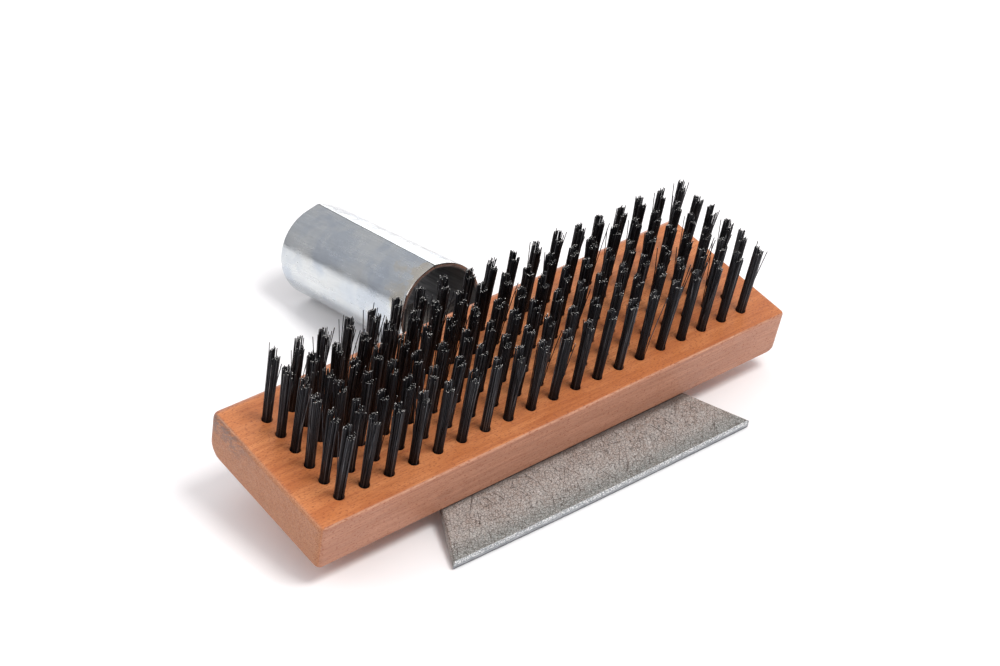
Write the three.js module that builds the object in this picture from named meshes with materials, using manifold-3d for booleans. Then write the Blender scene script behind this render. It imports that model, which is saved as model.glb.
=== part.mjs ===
// Wire scratch brush: a hardwood block set with steel-wire tufts, a fan-shaped steel scraper plate
// screwed under its back, and a steel tube welded to the plate's tongue as the socket for a long handle.
// Units are millimetres. The brush is drawn in its own frame (x along the block, y from the scraper
// edge towards the handle, z towards the bristles, z = 0 at the block's back), and is then tipped to
// the pose in which it lies on a bench, bristles up, on the scraper's edge and the tube's far rim.

import * as THREE from 'three';
import { mergeVertices } from 'three/addons/utils/BufferGeometryUtils.js';
import Module from 'manifold-3d';

// Clearance between neighbouring pieces.
const GAP = 0.3;

// Wood block. Its ends are cut a little off the middle of the tuft grid.
const BLOCK_LENGTH = 198.2;
const BLOCK_SHIFT_X = 0.5;
const BLOCK_WIDTH = 59.4;
const BLOCK_THICKNESS = 17.5;
const NEAR_TOP_ROUND = 1;
const FAR_TOP_ROUND = 2.5;
const FAR_BOTTOM_ROUND = 5;
const NEAR_BOTTOM_ROUND = 0.6;
const END_ROUND = 1.8;
const RIGHT_END_BOTTOM_ROUND = 4.5;
const PLAN_CORNER_ROUND = 2.5;

// Tuft grid and the blind holes that hold it.
const COLUMNS = 19;
const ROWS = 6;
const COLUMN_PITCH = 9.525;
const ROW_PITCH = 7.67;
const FIRST_ROW_Y = 9;
const HOLE_ACROSS_FLATS = 4;
const HOLE_FLOOR_Z = 5;
const HOLE_SIDES = 8;

// Folded tuft: two legs of wire that spread towards their tips, the far one a little longer.
const NEAR_TIP_Z = BLOCK_THICKNESS + 26.6;
const FAR_TIP_Z = BLOCK_THICKNESS + 28.8;
const TUFT_BASE_HALF_X = 0.75;
const TUFT_TIP_HALF_X = 1.75;
const TUFT_BASE_HALF_Y = 0.95;
const TUFT_TIP_HALF_Y = 2.4;
const LEG_GAP_HALF = 0.35;
const FOLD_HEIGHT = 1.6;
const LINK_WIDTH = 0.8;
const LINK_HEIGHT = 1.2;

// Flat anchor wire that runs through the folds of each row.
const ANCHOR_THICKNESS = 0.3;
const ANCHOR_HEIGHT = 1.6;
const ANCHOR_BITE = 3.5;

// The scraper and its socket are one welded unit, screwed on slightly off centre and askew.
const UNIT_SHIFT_X = 3.3;
const UNIT_YAW = THREE.MathUtils.degToRad(-0.95);

// Scraper plate: one flat fan under the whole block. Behind the block its shoulders narrow to a
// tongue, which is bent down and runs inside the tube.
const PLATE_THICKNESS = 3.2;
const PLATE_REACH = 21;
const PLATE_EDGE_WIDTH = 127;
const PLATE_FLARE = THREE.MathUtils.degToRad(27);
const PLATE_BEND_INNER_RADIUS = 4;
const SHOULDER_Y = 60;
const SHOULDER_DEPTH = 2.5;
const SHOULDER_FILLET = 4;
const TONGUE_WIDTH = 20;
const TONGUE_IN_SOCKET = 28;
const TONGUE_CORNER = 3;

// Handle socket: a plain tube that dips away from the block.
const SOCKET_RADIUS = 17.2;
const SOCKET_WALL = 1.6;
const SOCKET_LENGTH = 74;
const SOCKET_DIP = THREE.MathUtils.degToRad(19.5);
const SOCKET_RIM_Y = 71.5;
const SOCKET_RIM_Z = 4.4;
const SOCKET_SEGMENTS = 48;

// Welds at the tube's near rim: a fillet along each edge of the tongue and a fill under it.
const WELD_START = 0.5;
const SIDE_WELD_LENGTH = 12;
const SIDE_WELD_LEG = 4;
const UNDER_WELD_LENGTH = 3;
const WELD_SEGMENTS = 3;

// Wood screws from the back.
const SCREW_RADIUS = 2.1;
const SCREW_LENGTH = 16;
const SCREW_POINT = 3;
const SCREW_HEAD_RADIUS = 3.9;
const SCREW_HEAD_HEIGHT = 2.3;
const SCREW_SLOT_WIDTH = 1;
const SCREW_SLOT_DEPTH = 1.1;
const SCREW_SEGMENTS = 12;
const FRONT_SCREW_COLUMN_GAP = 3.5;
const REAR_SCREW_COLUMN_GAP = 1.5;
const FRONT_SCREW_ROW_GAP = 0.5;
const REAR_SCREW_ROW_GAP = 4.5;

// Worked-out heights and places.
const PLATE_TOP_Z = -GAP;
const PLATE_BOTTOM_Z = PLATE_TOP_Z - PLATE_THICKNESS;
const FOLD_FLOOR_Z = HOLE_FLOOR_Z + GAP;
const FOLD_TOP_Z = FOLD_FLOOR_Z + FOLD_HEIGHT;
const ANCHOR_Z = FOLD_TOP_Z + GAP + ANCHOR_HEIGHT / 2;
const ANCHOR_LENGTH = (COLUMNS - 1) * COLUMN_PITCH + 2 * ANCHOR_BITE;
const BORE_RADIUS = SOCKET_RADIUS - SOCKET_WALL;
const TONGUE_FLOOR_DEPTH = Math.sqrt((BORE_RADIUS - GAP) ** 2 - (TONGUE_WIDTH / 2) ** 2);
const TONGUE_TOP_DEPTH = TONGUE_FLOOR_DEPTH - PLATE_THICKNESS;
const ROW_SPAN = (ROWS - 1) * ROW_PITCH;
const MIDDLE_ROW_Y = FIRST_ROW_Y + ROW_SPAN / 2;

const wasm = await Module();
wasm.setup();

const finishes = {
  wood: new THREE.MeshStandardMaterial({ color: '#b87650', roughness: 0.45, metalness: 0 }),
  wire: new THREE.MeshStandardMaterial({ color: '#202024', roughness: 0.4, metalness: 0.9 }),
  anchor: new THREE.MeshStandardMaterial({ color: '#8d8f92', roughness: 0.4, metalness: 1 }),
  scraper: new THREE.MeshStandardMaterial({ color: '#8f8d88', roughness: 0.5, metalness: 1 }),
  zinc: new THREE.MeshStandardMaterial({ color: '#b9c0c6', roughness: 0.3, metalness: 1 }),
  weld: new THREE.MeshStandardMaterial({ color: '#6b6560', roughness: 0.6, metalness: 0.9 }),
  screw: new THREE.MeshStandardMaterial({ color: '#c2bfae', roughness: 0.35, metalness: 1 }),
};

function toSolid(geometry) {
  const bare = geometry.clone();
  bare.deleteAttribute('normal');
  bare.deleteAttribute('uv');
  const welded = mergeVertices(bare, 1e-4);
  const kept = [];
  const index = welded.index.array;
  for (let i = 0; i < index.length; i += 3) {
    const [a, b, c] = [index[i], index[i + 1], index[i + 2]];
    if (a !== b && b !== c && c !== a) {
      kept.push(a, b, c);
    }
  }
  const vertProperties = new Float32Array(welded.attributes.position.array);
  const triVerts = new Uint32Array(kept);
  return new wasm.Manifold(new wasm.Mesh({ numProp: 3, vertProperties, triVerts }));
}

function toGeometry(solid) {
  const { vertProperties, triVerts } = solid.getMesh();
  const geometry = new THREE.BufferGeometry();
  geometry.setAttribute('position', new THREE.BufferAttribute(vertProperties, 3));
  geometry.setIndex(new THREE.BufferAttribute(triVerts, 1));
  geometry.computeVertexNormals();
  return geometry;
}

function joined(geometries) {
  return geometries.map(toSolid).reduce((whole, piece) => whole.add(piece));
}

function extruded(shape, depth, curveSegments = 2) {
  return new THREE.ExtrudeGeometry(shape, { depth, curveSegments, bevelEnabled: false });
}

// A section drawn in (y, z) and swept along x, centred on x = 0.
function sweptAlongX(shape, length, curveSegments) {
  const yzToWorld = new THREE.Matrix4().makeBasis(
    new THREE.Vector3(0, 1, 0),
    new THREE.Vector3(0, 0, 1),
    new THREE.Vector3(1, 0, 0),
  );
  return extruded(shape, length, curveSegments).applyMatrix4(yzToWorld).translate(-length / 2, 0, 0);
}

// A section drawn in (x, z) and swept along y from y = start.
function sweptAlongY(shape, start, length, curveSegments) {
  const geometry = extruded(shape, length, curveSegments);
  return geometry.rotateX(Math.PI / 2).translate(0, start + length, 0);
}

// A rectangle from (left, low) to (right, high) with its own radius at each corner.
function roundedRectangle(left, right, low, high, rounds) {
  const { lowLeft, lowRight, highRight, highLeft } = rounds;
  const shape = new THREE.Shape();
  shape.moveTo(left + lowLeft, low);
  shape.lineTo(right - lowRight, low);
  shape.absarc(right - lowRight, low + lowRight, lowRight, -Math.PI / 2, 0);
  shape.lineTo(right, high - highRight);
  shape.absarc(right - highRight, high - highRight, highRight, 0, Math.PI / 2);
  shape.lineTo(left + highLeft, high);
  shape.absarc(left + highLeft, high - highLeft, highLeft, Math.PI / 2, Math.PI);
  shape.lineTo(left, low + lowLeft);
  shape.absarc(left + lowLeft, low + lowLeft, lowLeft, Math.PI, Math.PI * 1.5);
  return shape;
}

function columnX(column) {
  return (column - (COLUMNS - 1) / 2) * COLUMN_PITCH;
}

function rowY(row) {
  return FIRST_ROW_Y + row * ROW_PITCH;
}

// A screw sits between tuft columns and between tuft rows: x and y count pitches from the grid's
// middle column and first row.
const screwPlaces = [
  [-FRONT_SCREW_COLUMN_GAP, FRONT_SCREW_ROW_GAP],
  [FRONT_SCREW_COLUMN_GAP, FRONT_SCREW_ROW_GAP],
  [-REAR_SCREW_COLUMN_GAP, REAR_SCREW_ROW_GAP],
  [REAR_SCREW_COLUMN_GAP, REAR_SCREW_ROW_GAP],
].map(([x, y]) => new THREE.Vector2(x * COLUMN_PITCH, rowY(y)));

function screwHole(place, height) {
  const hole = new THREE.CylinderGeometry(SCREW_RADIUS + GAP, SCREW_RADIUS + GAP, height, SCREW_SEGMENTS);
  return hole.rotateX(Math.PI / 2).translate(place.x, place.y, 0);
}

function blockBlank() {
  const crossSection = roundedRectangle(0, BLOCK_WIDTH, 0, BLOCK_THICKNESS, {
    lowLeft: NEAR_BOTTOM_ROUND,
    lowRight: FAR_BOTTOM_ROUND,
    highRight: FAR_TOP_ROUND,
    highLeft: NEAR_TOP_ROUND,
  });
  const half = BLOCK_LENGTH / 2;
  const longSection = roundedRectangle(-half, half, 0, BLOCK_THICKNESS, {
    lowLeft: END_ROUND,
    lowRight: RIGHT_END_BOTTOM_ROUND,
    highRight: END_ROUND,
    highLeft: END_ROUND,
  });
  const plan = roundedRectangle(-half, half, 0, BLOCK_WIDTH, {
    lowLeft: PLAN_CORNER_ROUND,
    lowRight: PLAN_CORNER_ROUND,
    highRight: PLAN_CORNER_ROUND,
    highLeft: PLAN_CORNER_ROUND,
  });
  return toSolid(sweptAlongX(crossSection, BLOCK_LENGTH))
    .intersect(toSolid(sweptAlongY(longSection, 0, BLOCK_WIDTH)))
    .intersect(toSolid(extruded(plan, BLOCK_THICKNESS)))
    .translate([BLOCK_SHIFT_X, 0, 0]);
}

// The drilled holes, the saw-thin ways that the anchors and tuft links lie in, and the screw holes.
function blockCuts() {
  const cuts = [];
  const depth = BLOCK_THICKNESS - HOLE_FLOOR_Z + 1;
  const cornerRadius = HOLE_ACROSS_FLATS / 2 / Math.cos(Math.PI / HOLE_SIDES);
  for (let column = 0; column < COLUMNS; column += 1) {
    for (let row = 0; row < ROWS; row += 1) {
      const hole = new THREE.CylinderGeometry(cornerRadius, cornerRadius, depth, HOLE_SIDES);
      hole.rotateY(Math.PI / HOLE_SIDES).rotateX(Math.PI / 2);
      cuts.push(hole.translate(columnX(column), rowY(row), HOLE_FLOOR_Z + depth / 2));
    }
    const way = new THREE.BoxGeometry(LINK_WIDTH + 2 * GAP, ROW_SPAN, LINK_HEIGHT + 2 * GAP);
    cuts.push(way.translate(columnX(column), MIDDLE_ROW_Y, HOLE_FLOOR_Z + LINK_HEIGHT / 2 + GAP));
  }
  for (let row = 0; row < ROWS; row += 1) {
    const way = new THREE.BoxGeometry(
      ANCHOR_LENGTH + 2 * GAP,
      ANCHOR_THICKNESS + 2 * GAP,
      ANCHOR_HEIGHT + 2 * GAP,
    );
    cuts.push(way.translate(0, rowY(row), ANCHOR_Z));
  }
  const screwDepth = PLATE_BOTTOM_Z + SCREW_LENGTH + GAP;
  for (const place of screwPlaces) {
    cuts.push(screwHole(place, 2 * screwDepth));
  }
  return joined(cuts);
}

function woodBlock() {
  return toGeometry(blockBlank().subtract(blockCuts()));
}

// One folded tuft in (y, z): up the far leg, down to the anchor's seat, and up the near leg.
function tuftOutline(y) {
  const seat = ANCHOR_THICKNESS / 2 + GAP;
  const shape = new THREE.Shape();
  shape.moveTo(y - TUFT_BASE_HALF_Y, FOLD_FLOOR_Z);
  shape.lineTo(y + TUFT_BASE_HALF_Y, FOLD_FLOOR_Z);
  shape.lineTo(y + TUFT_TIP_HALF_Y, FAR_TIP_Z);
  shape.lineTo(y + LEG_GAP_HALF, FAR_TIP_Z);
  shape.lineTo(y + seat, FOLD_TOP_Z);
  shape.lineTo(y - seat, FOLD_TOP_Z);
  shape.lineTo(y - LEG_GAP_HALF, NEAR_TIP_Z);
  shape.lineTo(y - TUFT_TIP_HALF_Y, NEAR_TIP_Z);
  return shape;
}

// Widens a slice that is 1 thick so that it spreads along x from the fold to the tips.
function spreadAlongX(geometry) {
  const points = geometry.attributes.position;
  const perHeight = (TUFT_TIP_HALF_X - TUFT_BASE_HALF_X) / (FAR_TIP_Z - FOLD_FLOOR_Z);
  for (let i = 0; i < points.count; i += 1) {
    const half = TUFT_BASE_HALF_X + perHeight * (points.getZ(i) - FOLD_FLOOR_Z);
    points.setX(i, 2 * half * points.getX(i));
  }
  return geometry;
}

// Six folded tufts on a thin link at the bottoms of their holes, which makes the column one body.
function tuftColumn() {
  const link = new THREE.BoxGeometry(LINK_WIDTH, ROW_SPAN, LINK_HEIGHT);
  const pieces = [link.translate(0, MIDDLE_ROW_Y, FOLD_FLOOR_Z + LINK_HEIGHT / 2)];
  for (let row = 0; row < ROWS; row += 1) {
    pieces.push(spreadAlongX(sweptAlongX(tuftOutline(rowY(row)), 1)));
  }
  return toGeometry(joined(pieces));
}

function anchorRow() {
  return new THREE.BoxGeometry(ANCHOR_LENGTH, ANCHOR_THICKNESS, ANCHOR_HEIGHT);
}

// Where the tongue's upper face, TONGUE_TOP_DEPTH below the tube's axis, meets the plate's.
function bendApexY() {
  const tongueTopAtRim = SOCKET_RIM_Z - TONGUE_TOP_DEPTH / Math.cos(SOCKET_DIP);
  return SOCKET_RIM_Y - (PLATE_TOP_Z - tongueTopAtRim) / Math.tan(SOCKET_DIP);
}

// The tongue passes the rim where it lies below the tube's axis, and ends a set way beyond it.
function tongueEndY() {
  const rimY = SOCKET_RIM_Y - TONGUE_FLOOR_DEPTH * Math.sin(SOCKET_DIP);
  return rimY + TONGUE_IN_SOCKET * Math.cos(SOCKET_DIP);
}

function plateSection() {
  const outer = PLATE_BEND_INNER_RADIUS + PLATE_THICKNESS;
  const centreY = bendApexY() - outer * Math.tan(SOCKET_DIP / 2);
  const centreZ = PLATE_TOP_Z - outer;
  const reach = (tongueEndY() - bendApexY()) / Math.cos(SOCKET_DIP) + PLATE_THICKNESS;
  const slope = new THREE.Vector2(Math.cos(SOCKET_DIP), -Math.sin(SOCKET_DIP)).multiplyScalar(reach);
  const bendEnd = Math.PI / 2 - SOCKET_DIP;
  const onBend = (radius) => new THREE.Vector2(
    centreY + radius * Math.cos(bendEnd),
    centreZ + radius * Math.sin(bendEnd),
  );
  const upper = onBend(outer).add(slope);
  const lower = onBend(PLATE_BEND_INNER_RADIUS).add(slope);
  const shape = new THREE.Shape();
  shape.moveTo(-PLATE_REACH, PLATE_BOTTOM_Z);
  shape.lineTo(centreY, PLATE_BOTTOM_Z);
  shape.absarc(centreY, centreZ, PLATE_BEND_INNER_RADIUS, Math.PI / 2, bendEnd, true);
  shape.lineTo(lower.x, lower.y);
  shape.lineTo(upper.x, upper.y);
  shape.absarc(centreY, centreZ, outer, bendEnd, Math.PI / 2, false);
  shape.lineTo(-PLATE_REACH, PLATE_TOP_Z);
  return shape;
}

// The plan, from the front edge along one side to the tongue's end and back along the other.
function platePlan() {
  const end = tongueEndY();
  const halfEdge = PLATE_EDGE_WIDTH / 2;
  const halfShoulder = halfEdge - (SHOULDER_Y + PLATE_REACH) * Math.tan(PLATE_FLARE);
  const halfTongue = TONGUE_WIDTH / 2;
  const neckY = SHOULDER_Y + SHOULDER_DEPTH;
  const shape = new THREE.Shape();
  shape.moveTo(-halfEdge, -PLATE_REACH);
  shape.lineTo(halfEdge, -PLATE_REACH);
  shape.lineTo(halfShoulder, SHOULDER_Y);
  shape.lineTo(halfTongue + SHOULDER_FILLET, neckY);
  shape.quadraticCurveTo(halfTongue, neckY, halfTongue, neckY + SHOULDER_FILLET);
  shape.lineTo(halfTongue, end - TONGUE_CORNER);
  shape.quadraticCurveTo(halfTongue, end, halfTongue - TONGUE_CORNER, end);
  shape.lineTo(TONGUE_CORNER - halfTongue, end);
  shape.quadraticCurveTo(-halfTongue, end, -halfTongue, end - TONGUE_CORNER);
  shape.lineTo(-halfTongue, neckY + SHOULDER_FILLET);
  shape.quadraticCurveTo(-halfTongue, neckY, -halfTongue - SHOULDER_FILLET, neckY);
  shape.lineTo(-halfShoulder, SHOULDER_Y);
  return shape;
}

// In the block's frame, because the screws stand square in the block's tuft grid.
function scraperPlate() {
  const bentStrip = toSolid(sweptAlongX(plateSection(), PLATE_EDGE_WIDTH));
  const planHeight = 100;
  const plan = toSolid(extruded(platePlan(), planHeight, 4).translate(0, 0, -planHeight / 2));
  const fan = toGeometry(bentStrip.intersect(plan)).rotateZ(UNIT_YAW).translate(UNIT_SHIFT_X, 0, 0);
  const holes = joined(screwPlaces.map((place) => screwHole(place, 4 * PLATE_THICKNESS)));
  return toGeometry(toSolid(fan).subtract(holes));
}

// Drawn in the socket's own frame: y along the tube from its near rim, z away from the tongue.
function handleSocket() {
  const ring = new THREE.Shape();
  ring.absarc(0, 0, SOCKET_RADIUS, 0, 2 * Math.PI, false);
  const bore = new THREE.Path();
  bore.absarc(0, 0, BORE_RADIUS, 0, 2 * Math.PI, true);
  ring.holes.push(bore);
  return sweptAlongY(ring, 0, SOCKET_LENGTH, SOCKET_SEGMENTS / 2);
}

// The corner between the tongue's upper face and the bore, on the side given by its sign.
function sideWeld(side) {
  const radius = BORE_RADIUS - GAP;
  const floor = TONGUE_TOP_DEPTH - GAP;
  const top = floor - SIDE_WELD_LEG;
  const arcStart = -Math.asin(floor / radius);
  const arcEnd = -Math.asin(top / radius);
  const around = (angle) => (side > 0 ? angle : Math.PI - angle);
  const cornerX = radius * Math.cos(arcStart);
  const shape = new THREE.Shape();
  shape.moveTo(side * (cornerX - SIDE_WELD_LEG), -floor);
  shape.lineTo(side * cornerX, -floor);
  shape.absarc(0, 0, radius, around(arcStart), around(arcEnd), side < 0);
  return sweptAlongY(shape, WELD_START, SIDE_WELD_LENGTH, WELD_SEGMENTS);
}

// The segment between the tongue's under face and the bore.
function underWeld() {
  const radius = BORE_RADIUS - GAP;
  const halfAngle = Math.acos((TONGUE_FLOOR_DEPTH + GAP) / radius);
  const down = -Math.PI / 2;
  const shape = new THREE.Shape();
  shape.absarc(0, 0, radius, down - halfAngle, down + halfAngle, false);
  return sweptAlongY(shape, WELD_START, UNDER_WELD_LENGTH, WELD_SEGMENTS);
}

// A slotted pan-head wood screw, its point upwards and the underside of its head at z = 0.
function woodScrew() {
  const profile = [
    [0, -SCREW_HEAD_HEIGHT],
    [SCREW_HEAD_RADIUS * 0.6, -SCREW_HEAD_HEIGHT],
    [SCREW_HEAD_RADIUS * 0.92, -SCREW_HEAD_HEIGHT * 0.65],
    [SCREW_HEAD_RADIUS, -SCREW_HEAD_HEIGHT * 0.25],
    [SCREW_HEAD_RADIUS, 0],
    [SCREW_RADIUS, 0],
    [SCREW_RADIUS, SCREW_LENGTH - SCREW_POINT],
    [0, SCREW_LENGTH],
  ].map(([radius, height]) => new THREE.Vector2(radius, height));
  const turned = new THREE.LatheGeometry(profile, SCREW_SEGMENTS).rotateX(Math.PI / 2);
  const slot = new THREE.BoxGeometry(2.5 * SCREW_HEAD_RADIUS, SCREW_SLOT_WIDTH, 2 * SCREW_SLOT_DEPTH);
  slot.translate(0, 0, -SCREW_HEAD_HEIGHT);
  return toGeometry(toSolid(turned).subtract(toSolid(slot)));
}

function named(name, geometry, finish) {
  const mesh = new THREE.Mesh(geometry, finish);
  mesh.name = name;
  return mesh;
}

const brush = new THREE.Group();
brush.add(named('wood_block', woodBlock(), finishes.wood));

const tufts = tuftColumn();
for (let column = 0; column < COLUMNS; column += 1) {
  const label = String(column + 1).padStart(2, '0');
  const mesh = named(`tuft_column_${label}`, tufts, finishes.wire);
  mesh.position.x = columnX(column);
  brush.add(mesh);
}

const anchor = anchorRow();
for (let row = 0; row < ROWS; row += 1) {
  const mesh = named(`anchor_row_${row + 1}`, anchor, finishes.anchor);
  mesh.position.set(0, rowY(row), ANCHOR_Z);
  brush.add(mesh);
}

brush.add(named('scraper_plate', scraperPlate(), finishes.scraper));

const screw = woodScrew();
const screwNames = ['front_left', 'front_right', 'rear_left', 'rear_right'];
screwPlaces.forEach((place, i) => {
  const mesh = named(`wood_screw_${screwNames[i]}`, screw, finishes.screw);
  mesh.position.set(place.x, place.y, PLATE_BOTTOM_Z - GAP);
  brush.add(mesh);
});

const unit = new THREE.Group();
unit.position.x = UNIT_SHIFT_X;
unit.rotation.z = UNIT_YAW;
const socket = new THREE.Group();
socket.position.set(0, SOCKET_RIM_Y, SOCKET_RIM_Z);
socket.rotation.x = -SOCKET_DIP;
socket.add(named('handle_socket', handleSocket(), finishes.zinc));
socket.add(named('weld_bead_left', sideWeld(-1), finishes.weld));
socket.add(named('weld_bead_right', sideWeld(1), finishes.weld));
socket.add(named('weld_bead_under', underWeld(), finishes.weld));
unit.add(socket);
brush.add(unit);

// Tip the brush so that both ends of the scraper's lower front edge and the lowest point of the
// tube's far rim are level.
unit.updateMatrix();
socket.updateMatrix();
const unitToBrush = unit.matrix;
const socketToBrush = unit.matrix.clone().multiply(socket.matrix);
const edgeEnd = (x) => new THREE.Vector3(x, -PLATE_REACH, PLATE_BOTTOM_Z).applyMatrix4(unitToBrush);
const left = edgeEnd(-PLATE_EDGE_WIDTH / 2);
const right = edgeEnd(PLATE_EDGE_WIDTH / 2);
const back = new THREE.Vector3(0, SOCKET_LENGTH, -SOCKET_RADIUS).applyMatrix4(socketToBrush);
const restNormal = right.sub(left).cross(back.sub(left)).normalize();
brush.quaternion.setFromUnitVectors(restNormal, new THREE.Vector3(0, 0, 1));

// The origin is the middle of the footprint, on the bench.
const part = new THREE.Group();
part.add(brush);
part.updateMatrixWorld(true);
const box = new THREE.Box3().setFromObject(part, true);
const centre = box.getCenter(new THREE.Vector3());
brush.position.set(-centre.x, -centre.y, -box.min.z);
part.updateMatrixWorld(true);

export default part;
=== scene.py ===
"""Looks of the wire scratch brush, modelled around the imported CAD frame.

Shapes are drawn in millimetres in three frames and placed in the row frame in metres:
- the brush's frame: x along the block, y from the scraper's edge towards the handle socket, z
  towards the bristles, z = 0 at the block's back, y = 0 at its near face;
- the scraper unit's frame, which sits slightly off centre and askew on the block's back;
- the socket's frame: y along the tube from its near rim, z away from the plate's tongue.
"""

import math
import random

import bmesh
import bpy
import numpy as np
from mathutils import Matrix, Vector, noise


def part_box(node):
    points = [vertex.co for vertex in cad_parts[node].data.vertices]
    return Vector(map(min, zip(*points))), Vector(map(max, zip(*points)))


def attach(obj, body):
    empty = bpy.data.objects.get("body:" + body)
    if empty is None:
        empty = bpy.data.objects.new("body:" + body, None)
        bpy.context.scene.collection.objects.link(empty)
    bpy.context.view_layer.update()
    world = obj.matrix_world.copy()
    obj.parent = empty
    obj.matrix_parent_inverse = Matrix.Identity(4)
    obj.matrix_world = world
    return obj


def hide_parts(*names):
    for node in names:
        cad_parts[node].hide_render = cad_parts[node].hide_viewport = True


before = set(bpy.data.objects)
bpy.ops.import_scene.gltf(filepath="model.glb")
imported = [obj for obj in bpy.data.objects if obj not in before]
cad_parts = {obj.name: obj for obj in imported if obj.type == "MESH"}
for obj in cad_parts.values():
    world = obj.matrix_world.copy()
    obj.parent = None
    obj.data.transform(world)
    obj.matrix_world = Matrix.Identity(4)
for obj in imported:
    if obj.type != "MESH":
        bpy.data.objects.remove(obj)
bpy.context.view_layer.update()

MM = 0.001
rng = random.Random(20)

# Driving dimensions, in millimetres and degrees, as in the CAD source.
GAP = 0.3
BLOCK = Vector((198.2, 59.4, 17.5))
BLOCK_SHIFT = 0.5
COLUMNS, ROWS = 19, 6
FIRST_ROW_Y = 9
HOLE_RADIUS, HOLE_FLOOR = 1.8, 5.0
ANCHOR_THICKNESS, ANCHOR_HEIGHT, ANCHOR_Z, ANCHOR_BITE = 0.3, 1.6, 8.0, 3.5
SCREW_HOLE_RADIUS, SCREW_HOLE_DEPTH, SCREW_HOLE_POINT = 2.3, 11.5, 13.2
PLATE_HOLE_RADIUS = 2.4
UNIT_SHIFT, UNIT_YAW = 3.3, -0.95
PLATE_THICKNESS, PLATE_REACH, PLATE_HALF_EDGE, PLATE_FLARE = 3.2, 21.0, 63.5, 27.0
EDGE_BOW = 0.5
BEND_INNER = 4.0
SHOULDER_Y, SHOULDER_DEPTH, SHOULDER_FILLET = 60.0, 2.5, 4.0
TONGUE_HALF, TONGUE_IN_SOCKET, TONGUE_CORNER = 10.0, 28.0, 3.0
SOCKET_RADIUS, SOCKET_WALL, SOCKET_LENGTH, SOCKET_DIP = 17.2, 1.6, 74.0, 19.5
SOCKET_RIM_Y, SOCKET_RIM_Z = 71.5, 4.4
SEAM_NEAR_X, SEAM_DRIFT, SEAM_PEAK, SEAM_RUN = -1.2, 2.5, 0.9, 6.0
BORE = SOCKET_RADIUS - SOCKET_WALL
TONGUE_FLOOR = math.sqrt((BORE - GAP) ** 2 - TONGUE_HALF**2)
TONGUE_TOP = TONGUE_FLOOR - PLATE_THICKNESS
PLATE_TOP = -GAP
PLATE_BOTTOM = PLATE_TOP - PLATE_THICKNESS


# ---------------------------------------------------------------- frames

def centre(node):
    low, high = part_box(node)
    return (low + high) / 2


def frame_matrix(x, y, z, origin):
    """From millimetres along three axes at an origin to the row frame."""
    rotation = Matrix((x, y, z)).transposed().to_4x4()
    return Matrix.Translation(origin) @ rotation @ Matrix.Scale(MM, 4)


first_column, last_column = centre("tuft_column_01"), centre("tuft_column_19")
first_row, last_row = centre("anchor_row_1"), centre("anchor_row_6")
along = (last_column - first_column).normalized()
across = (last_row - first_row).normalized()
out = along.cross(across)
COLUMN_PITCH = (last_column - first_column).length / (COLUMNS - 1) / MM
ROW_PITCH = (last_row - first_row).length / (ROWS - 1) / MM
brush = frame_matrix(
    along, across, out, first_row - (FIRST_ROW_Y * across + ANCHOR_Z * out) * MM
)
unit = (
    brush
    @ Matrix.Translation((UNIT_SHIFT, 0, 0))
    @ Matrix.Rotation(math.radians(UNIT_YAW), 4, "Z")
)
socket = (
    unit
    @ Matrix.Translation((0, SOCKET_RIM_Y, SOCKET_RIM_Z))
    @ Matrix.Rotation(-math.radians(SOCKET_DIP), 4, "X")
)


def column_x(column):
    return (column - (COLUMNS - 1) / 2) * COLUMN_PITCH


def row_y(row):
    return FIRST_ROW_Y + row * ROW_PITCH


SCREW_PLACES = {
    "front_left": (-3.5 * COLUMN_PITCH, row_y(0.5)),
    "front_right": (3.5 * COLUMN_PITCH, row_y(0.5)),
    "rear_left": (-1.5 * COLUMN_PITCH, row_y(4.5)),
    "rear_right": (1.5 * COLUMN_PITCH, row_y(4.5)),
}


# ---------------------------------------------------------------- meshes

def new_object(name, vertices, faces, matrix, face_materials=None):
    """A mesh whose vertices, in millimetres of matrix's frame, are stored in the row frame."""
    points = np.c_[np.asarray(vertices, float).reshape(-1, 3), np.ones(len(vertices))]
    world = points @ np.array(matrix).T
    mesh = bpy.data.meshes.new(name)
    mesh.from_pydata(world[:, :3].tolist(), [], faces)
    if face_materials is not None:
        mesh.polygons.foreach_set("material_index", np.asarray(face_materials, np.int32))
    mesh.validate()
    made = bpy.data.objects.new(name, mesh)
    bpy.context.scene.collection.objects.link(made)
    return made


def outward(piece):
    """Turns all faces outwards."""
    shape = bmesh.new()
    shape.from_mesh(piece.data)
    bmesh.ops.recalc_face_normals(shape, faces=shape.faces)
    shape.to_mesh(piece.data)
    shape.free()
    return piece


def settle(piece):
    """Applies the piece's modifiers to its mesh."""
    evaluated = piece.evaluated_get(bpy.context.evaluated_depsgraph_get())
    mesh = bpy.data.meshes.new_from_object(evaluated)
    piece.modifiers.clear()
    piece.data = mesh
    return piece


def cut(piece, tool):
    """Takes the tool's volume out of the piece."""
    modifier = piece.modifiers.new("cut", "BOOLEAN")
    modifier.object = tool
    modifier.operation = "DIFFERENCE"
    modifier.solver = "EXACT"
    bpy.context.view_layer.update()
    settle(piece)
    bpy.data.objects.remove(tool)


def smooth(piece, angle):
    """Smooth shading up to an edge angle in degrees, led by the larger faces."""
    piece.data.shade_smooth()
    piece.data.set_sharp_from_angle(angle=math.radians(angle))
    modifier = piece.modifiers.new("normals", "WEIGHTED_NORMAL")
    modifier.keep_sharp = True
    modifier.weight = 80
    return settle(piece)


def finish_piece(piece, slot, materials, *nodes):
    for material in materials:
        piece.data.materials.append(material)
    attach(piece, "root")
    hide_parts(*nodes)


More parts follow.
